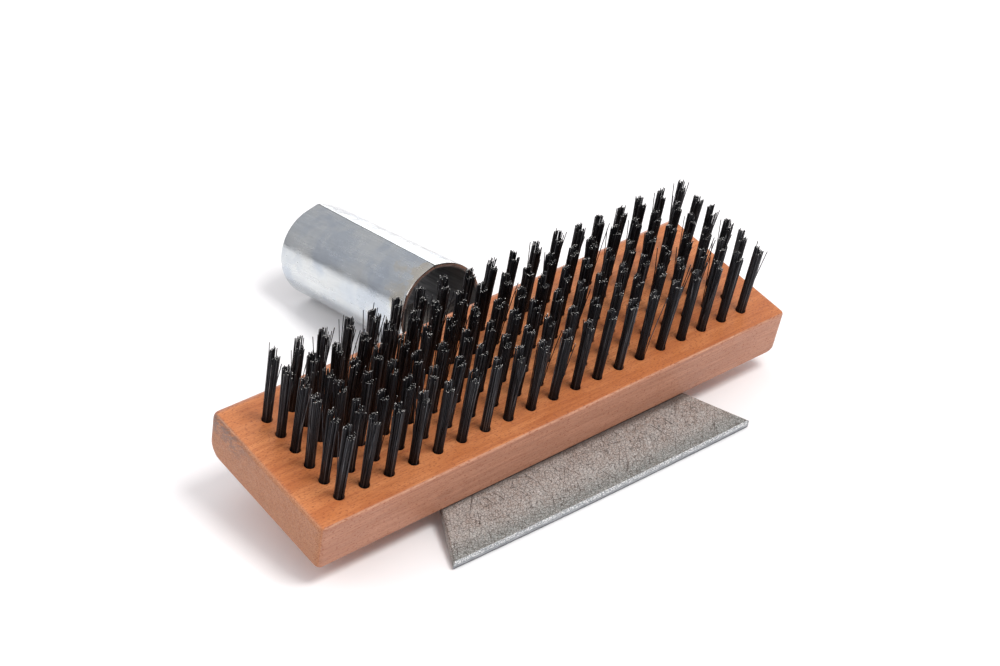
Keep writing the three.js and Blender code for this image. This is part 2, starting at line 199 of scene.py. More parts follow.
def rounded_loop(left, right, low, high, rounds, steps=7):
    """A rectangle with its own radius at each corner, anticlockwise from the low left corner."""
    corners = ((left, low), (right, low), (right, high), (left, high))
    points = []
    for index, ((x, y), radius) in enumerate(zip(corners, rounds)):
        cx = x + radius if x == left else x - radius
        cy = y + radius if y == low else y - radius
        for step in range(steps + 1):
            angle = math.radians(180 + 90 * index + 90 * step / steps)
            points.append((cx + radius * math.cos(angle), cy + radius * math.sin(angle)))
    return points


def prism_along_x(name, loop, reach, matrix):
    """A loop in y and z, extruded to reach on both sides of x = 0."""
    vertices = [(x, y, z) for x in (-reach, reach) for y, z in loop]
    n = len(loop)
    faces = [[k, (k + 1) % n, n + (k + 1) % n, n + k] for k in range(n)]
    faces += [list(range(n))[::-1], list(range(n, 2 * n))]
    return outward(new_object(name, vertices, faces, matrix))


def tube_faces(rings, size, wrap_rings=False):
    """Quads between consecutive closed rings of vertices."""
    last = rings if wrap_rings else rings - 1
    faces = []
    for ring in range(last):
        a, b = ring * size, (ring + 1) % rings * size
        for k in range(size):
            n = (k + 1) % size
            faces.append((a + k, a + n, b + n, b + k))
    return faces


def end_caps(size, count):
    """Faces that close the first and the last ring of a tube of count vertices."""
    return [list(range(size)), list(range(count - size, count))]


def turned(profile, segments, axis_place):
    """Vertices and faces of a closed solid of revolution, from (radius, z) points.

    Its axis runs along z through axis_place.
    """
    cx, cy = axis_place
    vertices = []
    for radius, z in profile:
        for k in range(segments):
            angle = 2 * math.pi * k / segments
            vertices.append((cx + radius * math.cos(angle), cy + radius * math.sin(angle), z))
    faces = tube_faces(len(profile), segments)
    faces.append(list(range(segments))[::-1])
    faces.append(list(range((len(profile) - 1) * segments, len(profile) * segments)))
    return vertices, faces


def many(name, solids, matrix):
    """One mesh from separate closed solids."""
    vertices, faces = [], []
    for points, polygons in solids:
        start = len(vertices)
        vertices += points
        faces += [[start + k for k in polygon] for polygon in polygons]
    return outward(new_object(name, vertices, faces, matrix))


def ripple(x, y, z, scale, seed):
    """Smooth noise about 0 at a place in millimetres."""
    return noise.noise(Vector((x / scale + seed * 17.3, y / scale, z / scale)))


# ---------------------------------------------------------------- materials

class Shade:
    """One procedural material; the vector it works in is millimetres of a given frame."""

    def __init__(self, name, matrix, **constants):
        self.material = bpy.data.materials.new(name)
        self.material.use_nodes = True
        self.nodes = self.material.node_tree.nodes
        self.links = self.material.node_tree.links
        self.shader = self.nodes["Principled BSDF"]
        for socket_name, value in constants.items():
            self.shader.inputs[socket_name.replace("_", " ")].default_value = value
        place, turn, size = matrix.decompose()
        object_space = self.nodes.new("ShaderNodeTexCoord").outputs["Object"]
        self.place = self.node(
            "ShaderNodeMapping",
            {"Vector": object_space, "Location": place, "Rotation": turn.to_euler(), "Scale": size},
            vector_type="TEXTURE",
        )
        split = self.nodes.new("ShaderNodeSeparateXYZ")
        self.links.new(self.place, split.inputs[0])
        self.x, self.y, self.z = split.outputs

    def node(self, kind, inputs, output=0, **settings):
        made = self.nodes.new(kind)
        for key, value in settings.items():
            setattr(made, key, value)
        for key, value in inputs.items():
            if isinstance(value, bpy.types.NodeSocket):
                self.links.new(value, made.inputs[key])
            else:
                made.inputs[key].default_value = value
        return made.outputs[output]

    def scaled(self, x, y, z, turn=(0, 0, 0), vector=None):
        """The place with each direction multiplied, to stretch a pattern, after a turn."""
        inputs = {
            "Vector": vector or self.place,
            "Rotation": [math.radians(a) for a in turn],
            "Scale": (1, 1, 1),
        }
        turned_place = self.node("ShaderNodeMapping", inputs)
        return self.node("ShaderNodeMapping", {"Vector": turned_place, "Scale": (x, y, z)})

    def noise(self, vector, detail=3, roughness=0.55, output=0):
        inputs = {"Vector": vector, "Scale": 1.0, "Detail": detail, "Roughness": roughness}
        return self.node("ShaderNodeTexNoise", inputs, output)

    def cells(self, vector):
        """Distance to the nearest cell border."""
        inputs = {"Vector": vector, "Scale": 1.0}
        return self.node("ShaderNodeTexVoronoi", inputs, feature="DISTANCE_TO_EDGE")

    def warped(self, vector, amount, scale):
        """The vector pushed about by noise."""
        coarse = self.node("ShaderNodeMapping", {"Vector": vector, "Scale": (scale,) * 3})
        push = self.noise(coarse, output=1)
        scaled_push = self.node(
            "ShaderNodeVectorMath", {0: push, 1: (amount,) * 3}, operation="MULTIPLY"
        )
        return self.node("ShaderNodeVectorMath", {0: vector, 1: scaled_push}, operation="ADD")

    def step(self, value, low, high, to_low=0.0, to_high=1.0):
        """A smooth rise as value goes from low to high, or a fall where low is the larger."""
        inputs = {
            "Value": value,
            "From Min": low,
            "From Max": high,
            "To Min": to_low,
            "To Max": to_high,
        }
        return self.node("ShaderNodeMapRange", inputs, interpolation_type="SMOOTHSTEP")

    def calc(self, operation, a, b=0.0):
        return self.node("ShaderNodeMath", {0: a, 1: b}, operation=operation)

    def mix(self, factor, a, b):
        colours = [c if isinstance(c, bpy.types.NodeSocket) else (*c, 1) for c in (a, b)]
        return self.node(
            "ShaderNodeMix",
            {0: factor, 6: colours[0], 7: colours[1]},
            2,
            data_type="RGBA",
        )

    def bump(self, height, distance):
        """A bump of the given height in millimetres."""
        inputs = {"Height": height, "Distance": distance * MM, "Strength": 1.0}
        return self.node("ShaderNodeBump", inputs)

    def done(self, colour, roughness, normal, metallic=None):
        self.links.new(colour, self.shader.inputs["Base Color"])
        self.links.new(roughness, self.shader.inputs["Roughness"])
        self.links.new(normal, self.shader.inputs["Normal"])
        if metallic is not None:
            self.links.new(metallic, self.shader.inputs["Metallic"])
        return self.material


def wood_material():
    s = Shade(
        "varnished_wood", brush, Coat_Weight=0.05, Coat_Roughness=0.25, Specular_IOR_Level=0.35
    )
    # Growth rings round a heart line far below the block and parallel to it.
    heart = s.node("ShaderNodeCombineXYZ", {"X": 0.0, "Y": s.y, "Z": s.z})
    swayed = s.warped(heart, 5.0, 0.045)
    lean = s.node("ShaderNodeVectorMath", {0: s.scaled(0.012, 0, 0), 1: swayed}, operation="ADD")
    wavy = s.warped(lean, 1.6, 0.12)
    offset = s.node("ShaderNodeVectorMath", {0: wavy, 1: (0, -18, 64)}, operation="ADD")
    yz = s.node("ShaderNodeVectorMath", {0: offset, 1: (0, 1, 1)}, operation="MULTIPLY")
    radius = s.node("ShaderNodeVectorMath", {0: yz}, "Value", operation="LENGTH")
    rings = s.calc("SINE", s.calc("MULTIPLY", radius, 2 * math.pi / 2.9))
    ring_tone = s.step(rings, -1, 1)
    blotch = s.noise(s.scaled(0.03, 0.09, 0.09), 3, 0.6)
    streak = s.noise(s.scaled(0.035, 0.9, 0.9), 5, 0.65)
    fibre = s.noise(s.scaled(0.12, 3.2, 3.2), 4, 0.7)
    fleck = s.noise(s.scaled(0.9, 2.8, 2.8), 2, 0.5)
    flecks = s.step(fleck, 0.56, 0.64)
    pores = s.noise(s.scaled(5.0, 5.0, 5.0), 2, 0.6)

    # 0 on the broad faces, 1 on the long sides and on the ends.
    side = s.calc("MAXIMUM", s.step(s.y, 0.8, 0.35), s.step(s.y, BLOCK.y - 3.2, BLOCK.y - 1))
    far_x = s.calc("ABSOLUTE", s.calc("SUBTRACT", s.x, BLOCK_SHIFT))
    end = s.step(far_x, BLOCK.x / 2 - 1.5, BLOCK.x / 2 - 0.3)

    top = s.mix(s.step(blotch, 0.35, 0.65), (0.52, 0.168, 0.052), (0.65, 0.248, 0.090))
    top = s.mix(s.calc("MULTIPLY", s.step(streak, 0.42, 0.68), 0.6), top, (0.38, 0.100, 0.030))
    flank = s.mix(s.step(streak, 0.36, 0.64), (0.54, 0.265, 0.168), (0.42, 0.195, 0.12))
    flank = s.mix(s.calc("MULTIPLY", s.step(blotch, 0.5, 0.7), 0.4), flank, (0.42, 0.205, 0.135))
    grain = s.mix(s.step(pores, 0.35, 0.65), (0.58, 0.265, 0.128), (0.36, 0.15, 0.072))
    specks = s.noise(s.scaled(2.6, 2.6, 2.6), 3, 0.7)
    grain = s.mix(s.calc("MULTIPLY", s.step(specks, 0.52, 0.6), 0.6), grain, (0.25, 0.105, 0.055))
    saw = s.noise(s.scaled(1, 3.4, 0.22, (38, 0, 0)), 4, 0.7)
    grain = s.mix(s.calc("MULTIPLY", s.step(saw, 0.48, 0.64), 0.3), grain, (0.66, 0.38, 0.24))
    grime = s.calc("MULTIPLY", s.step(s.z, 6, 15), s.step(s.y, 30, 52))
    worn = s.step(s.noise(s.scaled(1, 0.3, 1.1, (25, 0, 0)), 4, 0.7), 0.4, 0.55)
    dirt = s.calc("MULTIPLY", s.calc("MULTIPLY", grime, worn), 0.8)
    grain = s.mix(dirt, grain, (0.15, 0.125, 0.115))
    colour = s.mix(side, top, flank)
    ring_share = s.step(s.calc("MAXIMUM", side, end), 0, 1, 0.0, 0.09)
    colour = s.mix(end, colour, grain)
    colour = s.mix(s.calc("MULTIPLY", ring_tone, ring_share), colour, (0.36, 0.105, 0.035))
    colour = s.mix(s.calc("MULTIPLY", s.step(fibre, 0.42, 0.7), 0.34), colour, (0.33, 0.10, 0.038))
    colour = s.mix(s.calc("MULTIPLY", flecks, 0.7), colour, (0.29, 0.07, 0.024))

    # A swirl of darker figure in the near side, and the paler upper edges: partly sanded wear,
    # partly a painted highlight along the rounded edge.
    swirl_x = s.calc("DIVIDE", s.calc("ADD", s.x, 50.0), 13.0)
    swirl_z = s.calc("DIVIDE", s.calc("SUBTRACT", s.z, 7.0), 6.5)
    swirl_r = s.calc(
        "SQRT",
        s.calc("ADD", s.calc("MULTIPLY", swirl_x, swirl_x), s.calc("MULTIPLY", swirl_z, swirl_z)),
    )
    swirl_wave = s.step(s.calc("SINE", s.calc("MULTIPLY", swirl_r, 11.0)), -0.4, 1)
    swirl = s.calc("MULTIPLY", s.calc("MULTIPLY", swirl_wave, s.step(swirl_r, 1.1, 0.2)), side)
    colour = s.mix(s.calc("MULTIPLY", swirl, 0.3), colour, (0.26, 0.105, 0.06))
    # Paler upper edges: sanded wear mixed with a painted highlight.
    upper = s.step(s.z, BLOCK.z - 0.65, BLOCK.z - 0.35)
    rim_y = s.step(s.y, 0.55, 0.3)
    rim_x = s.step(far_x, BLOCK.x / 2 - 1.1, BLOCK.x / 2 - 0.4)
    rim = s.calc("MULTIPLY", upper, s.calc("MAXIMUM", rim_y, rim_x))
    rub_and_highlight = s.step(s.noise(s.scaled(0.22, 0.22, 0.22), 5, 0.75), 0.35, 0.7, 0.0, 0.3)
    colour = s.mix(s.calc("MULTIPLY", rim, rub_and_highlight), colour, (0.88, 0.58, 0.38))

    roughness = s.step(s.noise(s.scaled(0.2, 0.9, 0.9), 4, 0.6), 0.3, 0.7, 0.38, 0.56)
    height = s.calc("ADD", s.calc("MULTIPLY", fibre, 0.6), s.calc("MULTIPLY", flecks, -0.5))
    height = s.calc("ADD", height, s.calc("MULTIPLY", pores, s.step(end, 0, 1, 0.25, 1.2)))
    return s.done(colour, roughness, s.bump(height, 0.045))


def wire_material(name, dark, pale):
    s = Shade(name, brush, Metallic=0.7, Specular_IOR_Level=0.5)
    highlight_streak = s.noise(s.scaled(3.4, 3.4, 0.05), 2, 0.6)
    smear = s.noise(s.scaled(0.8, 0.8, 0.12), 3, 0.6)
    rust = s.noise(s.scaled(0.7, 0.7, 0.25), 3, 0.6)
    # Painted highlights: paler streaks along the wires, from the dark to the pale colour.
    colour = s.mix(s.step(highlight_streak, 0.42, 0.62), dark, pale)
    colour = s.mix(s.calc("MULTIPLY", s.step(rust, 0.58, 0.75), 0.5), colour, (0.035, 0.018, 0.012))
    roughness = s.step(smear, 0.3, 0.7, 0.3, 0.52)
    return s.done(colour, roughness, s.bump(s.noise(s.scaled(6, 6, 0.6), 2), 0.02))


def cut_material():
    s = Shade("bristle_cut_end", brush, Metallic=0.35)
    tone = s.noise(s.scaled(3.2, 3.2, 3.2), 1)
    colour = s.mix(s.step(tone, 0.52, 0.57), (0.03, 0.03, 0.031), (0.68, 0.665, 0.63))
    roughness = s.step(tone, 0.3, 0.7, 0.3, 0.5)
    return s.done(colour, roughness, s.bump(s.noise(s.scaled(9, 9, 9), 2), 0.03))


def scraper_material():
    s = Shade("scraper_steel", unit, Metallic=0.82)
    base = s.warped(s.place, 1.5, 0.55)
    fine = s.cells(s.scaled(0.95, 0.95, 0.95, vector=base))
    coarse = s.cells(s.scaled(0.42, 0.42, 0.42, (0, 0, 30), base))
    coarse_hair = s.calc("MULTIPLY", s.step(coarse, 0.035, 0.0), 0.8)
    hair = s.calc("MAXIMUM", s.step(fine, 0.075, 0.0), coarse_hair)
    # Four sets of long scratches, each at its own angle.
    scratch_sets = ((17, 0.66, 0.74), (-48, 0.67, 0.75), (74, 0.66, 0.74), (118, 0.68, 0.76))
    scratches = None
    for angle, low, high in scratch_sets:
        stretched = s.scaled(0.09, 2.6, 2.6, (0, 0, angle), s.warped(s.place, 0.9, 0.06))
        line = s.step(s.noise(stretched, 2, 0.4), low, high)
        scratches = line if scratches is None else s.calc("MAXIMUM", scratches, line)
    mottle = s.noise(s.scaled(0.12, 0.12, 0.12), 4, 0.65)
    cloud = s.noise(s.scaled(0.5, 0.5, 0.5), 4, 0.7)
    grit = s.noise(s.scaled(2.4, 2.4, 2.4), 3, 0.7)
    share = s.calc("DIVIDE", s.x, PLATE_HALF_EDGE)
    bow = s.calc("MULTIPLY", s.calc("MULTIPLY", share, share), EDGE_BOW)
    from_edge = s.calc("SUBTRACT", s.calc("ADD", s.y, PLATE_REACH), bow)
    front = s.step(from_edge, 9, 1.5)
    colour = s.mix(s.step(mottle, 0.36, 0.62), (0.52, 0.50, 0.47), (0.42, 0.365, 0.325))
    colour = s.mix(s.calc("MULTIPLY", s.step(cloud, 0.4, 0.68), 0.6), colour, (0.56, 0.54, 0.52))
    colour = s.mix(s.calc("MULTIPLY", front, 0.8), colour, (0.25, 0.272, 0.258))
    colour = s.mix(s.calc("MULTIPLY", s.step(grit, 0.46, 0.66), 0.62), colour, (0.76, 0.755, 0.74))
    colour = s.mix(s.calc("MULTIPLY", hair, 0.88), colour, (0.07, 0.058, 0.05))
    colour = s.mix(s.calc("MULTIPLY", scratches, 0.75), colour, (0.09, 0.07, 0.062))
    # Darker and browner towards and under the block: partly grime, partly painted shade where the
    # block meets and covers the plate.
    grime = s.step(s.calc("ADD", s.y, s.calc("MULTIPLY", cloud, 2.2)), -1.4, 1.2)
    grime = s.calc("MULTIPLY", grime, s.step(s.y, BLOCK.y, BLOCK.y - 4))
    colour = s.mix(s.calc("MULTIPLY", grime, 0.8), colour, (0.11, 0.08, 0.068))
    # The sheared front edge: a crumbled, bright upper lip, partly torn metal and partly a painted
    # highlight, over a smooth band, with a painted contact shadow along its bottom.
    at_front = s.step(from_edge, 0.6, 0.3)
    lip = s.step(s.z, PLATE_BOTTOM + 1.6, PLATE_BOTTOM + 1.9)
    crumble = s.step(s.noise(s.scaled(1.6, 2.4, 2.4), 3, 0.75), 0.46, 0.54)
    smear = s.noise(s.scaled(0.25, 2, 2), 3)
    band = s.mix(s.step(smear, 0.4, 0.6), (0.36, 0.38, 0.40), (0.50, 0.52, 0.54))
    # Bright lip: torn metal and a painted highlight.
    band = s.mix(s.calc("MULTIPLY", lip, crumble), band, (0.97, 0.98, 0.97))
    # Painted contact shadow along the bottom of the edge.
    band = s.mix(s.step(s.z, PLATE_BOTTOM + 0.9, PLATE_BOTTOM + 0.5), band, (0.20, 0.205, 0.22))
    colour = s.mix(at_front, colour, band)
    roughness = s.step(cloud, 0.3, 0.7, 0.42, 0.62)
    height = s.calc("ADD", s.calc("MULTIPLY", grit, 0.7), s.calc("MULTIPLY", hair, -0.8))
    height = s.calc("ADD", height, s.calc("MULTIPLY", scratches, -0.9))
    height = s.calc("ADD", height, s.calc("MULTIPLY", s.calc("MULTIPLY", at_front, crumble), 4.0))
    torn = s.calc("MULTIPLY", at_front, s.calc("MULTIPLY", lip, crumble))
    return s.done(colour, roughness, s.bump(height, 0.05), s.step(torn, 0, 1, 0.82, 0.15))


def socket_material():
    s = Shade("socket_zinc", socket, Metallic=0.92)
    ring = s.node("ShaderNodeVectorMath", {0: s.place, 1: (1, 0, 1)}, operation="MULTIPLY")
    radius = s.node("ShaderNodeVectorMath", {0: ring}, "Value", operation="LENGTH")
    inside = s.step(radius, SOCKET_RADIUS - 0.7, SOCKET_RADIUS - 1.0)
    cloud = s.noise(s.scaled(0.07, 0.045, 0.07), 4, 0.6)
    tint = s.noise(s.warped(s.scaled(0.06, 0.06, 0.06), 1.2, 0.9), 4, 0.6)
    speck = s.noise(s.scaled(1.1, 0.7, 1.1), 4, 0.7)
    smear = s.noise(s.scaled(0.5, 0.09, 0.5), 4, 0.6)
    near = s.step(s.y, 26, 2)
    colour = s.mix(s.step(cloud, 0.35, 0.65), (0.60, 0.645, 0.68), (0.69, 0.715, 0.715))
    colour = s.mix(s.calc("MULTIPLY", s.step(tint, 0.48, 0.66), 0.55), colour, (0.47, 0.53, 0.61))
    straw_share = s.calc("ADD", s.calc("MULTIPLY", near, 0.75), 0.12)
    straw = s.calc("MULTIPLY", s.step(tint, 0.5, 0.4), straw_share)
    colour = s.mix(straw, colour, (0.66, 0.62, 0.53))
    colour = s.mix(s.calc("MULTIPLY", s.step(speck, 0.55, 0.75), 0.3), colour, (0.33, 0.34, 0.35))
    rim = s.step(s.y, 0.5, 0.15)
    colour = s.mix(s.calc("MULTIPLY", rim, 0.8), colour, (0.33, 0.305, 0.29))
    # A paler line round the outer edge of the near rim: a painted highlight.
    lip = s.calc("MULTIPLY", rim, s.step(radius, SOCKET_RADIUS - 0.4, SOCKET_RADIUS - 0.1))
    colour = s.mix(s.calc("MULTIPLY", lip, 0.7), colour, (0.62, 0.59, 0.55))
    # Dulled patches on the strip past the seam, and the dark line of the seam itself.
    drift = s.calc("MULTIPLY", s.y, SEAM_DRIFT / SOCKET_LENGTH)
    past_seam = s.calc("SUBTRACT", s.calc("SUBTRACT", s.x, drift), SEAM_NEAR_X)
    upper = s.step(s.z, 5, 8)
    beyond = s.calc("MULTIPLY", s.step(past_seam, 0.0, 0.6), s.step(past_seam, 14.0, 10.0))
    beyond = s.calc("MULTIPLY", beyond, upper)
    patches = s.step(s.noise(s.scaled(0.35, 0.25, 0.35), 5, 0.8), 0.38, 0.62)
    dulled = s.calc("MULTIPLY", s.calc("MULTIPLY", beyond, patches), 0.7)
    colour = s.mix(dulled, colour, (0.22, 0.225, 0.235))
    seam = s.calc("MULTIPLY", s.step(s.calc("ABSOLUTE", past_seam), 0.32, 0.14), upper)
    colour = s.mix(s.calc("MULTIPLY", seam, 0.8), colour, (0.11, 0.11, 0.11))
    streaks = s.noise(s.scaled(1.2, 0.06, 1.2), 3, 0.6)
    drawn = s.noise(s.scaled(1.6, 0.035, 1.6), 3, 0.6)
    colour = s.mix(s.calc("MULTIPLY", s.step(drawn, 0.4, 0.7), 0.16), colour, (0.4, 0.42, 0.44))
    # Darker, streaked colour on the inner wall.
    inner_wall_tone = s.mix(s.step(streaks, 0.35, 0.65), (0.19, 0.19, 0.195), (0.32, 0.32, 0.325))
    colour = s.mix(inside, colour, inner_wall_tone)
    roughness = s.calc("ADD", s.step(smear, 0.3, 0.7, 0.17, 0.29), s.calc("MULTIPLY", inside, 0.3))
    height = s.calc("ADD", s.calc("MULTIPLY", cloud, 1.2), s.calc("MULTIPLY", speck, 0.22))
    return s.done(colour, roughness, s.bump(height, 0.07))


def weld_material():
    s = Shade("weld_metal", socket, Metallic=0.85)
    tone = s.noise(s.scaled(0.5, 0.9, 0.5), 4, 0.65)
    scale = s.noise(s.scaled(2.5, 2.5, 2.5), 3, 0.7)
    colour = s.mix(s.step(tone, 0.35, 0.65), (0.30, 0.275, 0.25), (0.13, 0.12, 0.13))
    colour = s.mix(s.calc("MULTIPLY", s.step(scale, 0.5, 0.7), 0.5), colour, (0.25, 0.16, 0.09))
    return s.done(colour, s.step(scale, 0.3, 0.7, 0.38, 0.65), s.bump(scale, 0.12))


def steel_material(name, pale, dark, frame_of_place, streak_scale):
    s = Shade(name, frame_of_place, Metallic=0.95)
    streak = s.noise(s.scaled(*streak_scale), 4, 0.6)
    spot = s.noise(s.scaled(1.3, 1.3, 1.3), 3, 0.65)
    colour = s.mix(s.step(streak, 0.35, 0.65), pale, dark)
    colour = s.mix(s.calc("MULTIPLY", s.step(spot, 0.55, 0.72), 0.4), colour, (0.3, 0.25, 0.18))
    return s.done(colour, s.step(spot, 0.3, 0.7, 0.26, 0.45), s.bump(streak, 0.03))


def floor_material():
    s = Shade("studio_floor", Matrix.Scale(MM, 4), Specular_IOR_Level=0.1)
    mottle = s.noise(s.scaled(0.02, 0.02, 0.02), 2)
    colour = s.mix(mottle, (0.90, 0.895, 0.90), (0.92, 0.915, 0.92))
    return s.done(colour, s.step(mottle, 0, 1, 0.8, 0.9), s.bump(mottle, 0.01))


# ---------------------------------------------------------------- wood block

def inset(radius, from_end):
    """How far a rounded edge has drawn in at a distance from the end of the block."""
    short = max(radius - from_end, 0)
    return radius - math.sqrt(radius**2 - short**2)


def wood_block():
    half = BLOCK.x / 2
    end_round, plan_round = 1.8, 2.5
    under_round = {-1: 1.8, 1: 4.5}
    end_run, end_steps = 5.0, 12
    from_ends = [
        end_run * (1 - math.cos(math.pi / 2 * k / end_steps)) for k in range(end_steps + 1)
    ]
    # The broad faces are drawn in cells, so that no face holds more than one hole; a single face
    # with all the holes shades in dark wedges.
    between_columns = [column_x(column - 0.5) - BLOCK_SHIFT for column in range(COLUMNS + 1)]
    between_rows = [row_y(row + 0.5) for row in range(ROWS - 1)]
    stations = [(-1, t, t - half) for t in from_ends]
    stations += [(1, from_ends[-1], x) for x in between_columns]
    stations += [(1, t, half - t) for t in reversed(from_ends)]
    vertices = []
    for side, t, x in stations:
        plan = inset(plan_round, t)
        low, high = inset(under_round[side], t), BLOCK.z - inset(end_round, t)
        loop = rounded_loop(plan, BLOCK.y - plan, low, high, (0.6, 5.0, 2.5, 1.0))
        quarter = len(loop) // 4
        loop[3 * quarter : 3 * quarter] = [(y, high) for y in reversed(between_rows)]
        loop[quarter:quarter] = [(y, low) for y in between_rows]
        vertices += [(BLOCK_SHIFT + x, y, z) for y, z in loop]
    size = len(vertices) // len(stations)
    faces = tube_faces(len(stations), size)
    faces += end_caps(size, len(vertices))
    piece = outward(new_object("wood_body", vertices, faces, brush))

    chamfer, hole_sides = 0.07, 24
    profile = [
        (HOLE_RADIUS, HOLE_FLOOR),
        (HOLE_RADIUS, BLOCK.z - chamfer),
        (HOLE_RADIUS + chamfer, BLOCK.z),
        (HOLE_RADIUS + chamfer, BLOCK.z + 1),
    ]
    holes = [
        turned(profile, hole_sides, (column_x(column), row_y(row)))
        for column in range(COLUMNS)
        for row in range(ROWS)
    ]
    cut(piece, many("holes", holes, brush))
    screw_profile = [
        (SCREW_HOLE_RADIUS, -1),
        (SCREW_HOLE_RADIUS, SCREW_HOLE_DEPTH),
        (0.3, SCREW_HOLE_POINT),
    ]
    screw_holes = [turned(screw_profile, hole_sides, place) for place in SCREW_PLACES.values()]
    cut(piece, many("screw_holes", screw_holes, brush))
    bite = (COLUMNS - 1) / 2 * COLUMN_PITCH + ANCHOR_BITE + GAP
    for row in range(ROWS):
        reach = ANCHOR_THICKNESS / 2 + GAP
        rise = ANCHOR_HEIGHT / 2 + GAP
        loop = rounded_loop(
            row_y(row) - reach, row_y(row) + reach, ANCHOR_Z - rise, ANCHOR_Z + rise, (0.1,) * 4, 1
        )
        cut(piece, prism_along_x("way", loop, bite, brush))
    smooth(piece, 28)
    finish_piece(piece, "varnished_wood", [wood_material()], "wood_block")


# ---------------------------------------------------------------- bristles

WIRES_PER_TUFT = 23
WIRE_RADIUS = 0.145
WIRE_SIDES = 6
WIRE_SPACING = 0.36
BUNDLE_RADIUS = 1.5
# Least distance of a wire from the middle of its tuft, where the two legs part.
LEG_HALF_GAP = 0.2
NEAR_TIP, FAR_TIP = BLOCK.z + 26.6, BLOCK.z + 28.8
# Share of wire ends that stand off the bundle: in most tufts, and in those at the back on the left.
LOOSE, LOOSE_BACK_LEFT = 0.07, 0.2
# Share of wires given a paler copy of the wire finish, which is a painted highlight.
PAINTED_HIGHLIGHT_SHARE = 0.22
DARK_WIRE, PAINTED_HIGHLIGHT_WIRE, CUT_END = range(3)
FOLD_CENTRE = 7.3
# Least distance of a fold from the middle of the anchor that it goes round.
FOLD_HALF_GAP = 0.4


def spaced_places(count, spacing):
    """Places (x, depth) over half a disc, kept apart, for the wires of one leg."""
    places = []
    gap = spacing
    while len(places) < count:
        for _ in range(60):
            x = rng.uniform(-BUNDLE_RADIUS, BUNDLE_RADIUS)
            depth = rng.uniform(LEG_HALF_GAP, BUNDLE_RADIUS)
            if math.hypot(x, depth) > BUNDLE_RADIUS:
                continue
            if all(math.hypot(x - a, depth - b) > gap for a, b in places):
                places.append((x, depth))
                break
        else:
            gap *= 0.93
    return places


def leg_points(x, depth, sign, tip):
    """Points up one leg, from the fold to the tip, in the tuft's own x, y and z."""
    surface = BLOCK.z
    rise = tip[2] - surface
    held = max(depth, FOLD_HALF_GAP)
    points = [(x, sign * held, FOLD_CENTRE), (x, sign * depth, surface - 1)]
    for share in (0.3, 0.65, 1.0):
        spread = share**1.25
        points.append(
            (
                x + (tip[0] - x) * spread,
                sign * depth + (tip[1] - sign * depth) * spread,
                surface + rise * share,
            )
        )
    return points


def tuft_paths(loose):
    """The folded wires of one tuft: each a path from its near tip round the anchor to its far tip.

    loose is the share of wire ends that stand off the bundle.
    """
    paths = []
    lean = (rng.gauss(0, 0.3), rng.gauss(0, 0.25))
    legs = {}
    for sign, mean in ((-1, NEAR_TIP), (1, FAR_TIP)):
        legs[sign] = {
            "lean": (lean[0] + rng.gauss(0, 0.17), lean[1] + rng.gauss(0, 0.12)),
            "top": mean + rng.gauss(0, 0.35),
            "slope": (rng.gauss(0, 0.25), rng.gauss(-0.25, 0.25)),
            "spread": rng.uniform(1.0, 1.14),
        }
    for x, depth in spaced_places(WIRES_PER_TUFT, WIRE_SPACING):
        ends = []
        for sign in (-1, 1):
            leg = legs[sign]
            slope_x, slope_y = leg["slope"]
            tip_x = x * leg["spread"] + leg["lean"][0] + rng.gauss(0, 0.06)
            tip_depth = 0.4 + (depth - LEG_HALF_GAP) * 1.12 + rng.gauss(0, 0.06)
            tip_y = sign * tip_depth + leg["lean"][1]
            tip_z = leg["top"] + x * slope_x + sign * depth * slope_y + rng.gauss(0, 0.38)
            if rng.random() < loose:
                turn = rng.uniform(0, 2 * math.pi)
                stray = rng.uniform(0.7, 2.8)
                tip_x += stray * math.cos(turn)
                tip_y += stray * math.sin(turn)
                tip_z += rng.uniform(-1.5, 0.6)
            ends.append(leg_points(x, depth, sign, (tip_x, tip_y, tip_z)))
        near, far = ends
        held = max(depth, FOLD_HALF_GAP)
        drop = 0.55 + 0.9 * held
        fold = [
            (x, -held * math.cos(angle), FOLD_CENTRE - drop * math.sin(angle))
            for angle in (math.pi * k / 5 for k in (1, 2, 3, 4))
        ]
        paths.append(near[::-1] + fold + far)
    return paths


def wires(paths):
    """Vertices, faces and material numbers of round wires along paths, with cut ends.

    A wire's section is spread between x and the direction across x and its path.
    """
    paths = np.array(paths)
    count, length = paths.shape[:2]
    tangent = np.gradient(paths, axis=1)
    tangent /= np.linalg.norm(tangent, axis=2, keepdims=True)
    sideways = np.array([1.0, 0, 0])
    normal = np.cross(tangent, sideways)
    normal /= np.linalg.norm(normal, axis=2, keepdims=True)
    angles = 2 * np.pi * np.arange(WIRE_SIDES) / WIRE_SIDES
    ring = (
        np.cos(angles)[:, None] * sideways
        + np.sin(angles)[:, None] * normal[:, :, None, :]
    )
    vertices = paths[:, :, None, :] + WIRE_RADIUS * ring
    # Each end is snipped at its own slant.
    for end in (0, length - 1):
        slant = np.array([[rng.gauss(0, 0.35), rng.gauss(0, 0.35)] for _ in range(count)])
        offset = vertices[:, end] - paths[:, end, None, :]
        vertices[:, end, :, 2] += (offset[:, :, :2] * slant[:, None, :]).sum(2)
    faces, materials = [], []
    per_wire = length * WIRE_SIDES
    pattern = tube_faces(length, WIRE_SIDES)
    start_cap = tuple(range(WIRE_SIDES))[::-1]
    end_cap = tuple(range(per_wire - WIRE_SIDES, per_wire))
    for wire in range(count):
        base = wire * per_wire
        faces += [tuple(base + k for k in face) for face in pattern]
        faces += [tuple(base + k for k in cap) for cap in (start_cap, end_cap)]
        finish = PAINTED_HIGHLIGHT_WIRE if rng.random() < PAINTED_HIGHLIGHT_SHARE else DARK_WIRE
        materials += [finish] * len(pattern) + [CUT_END, CUT_END]
    return vertices.reshape(-1, 3), faces, materials


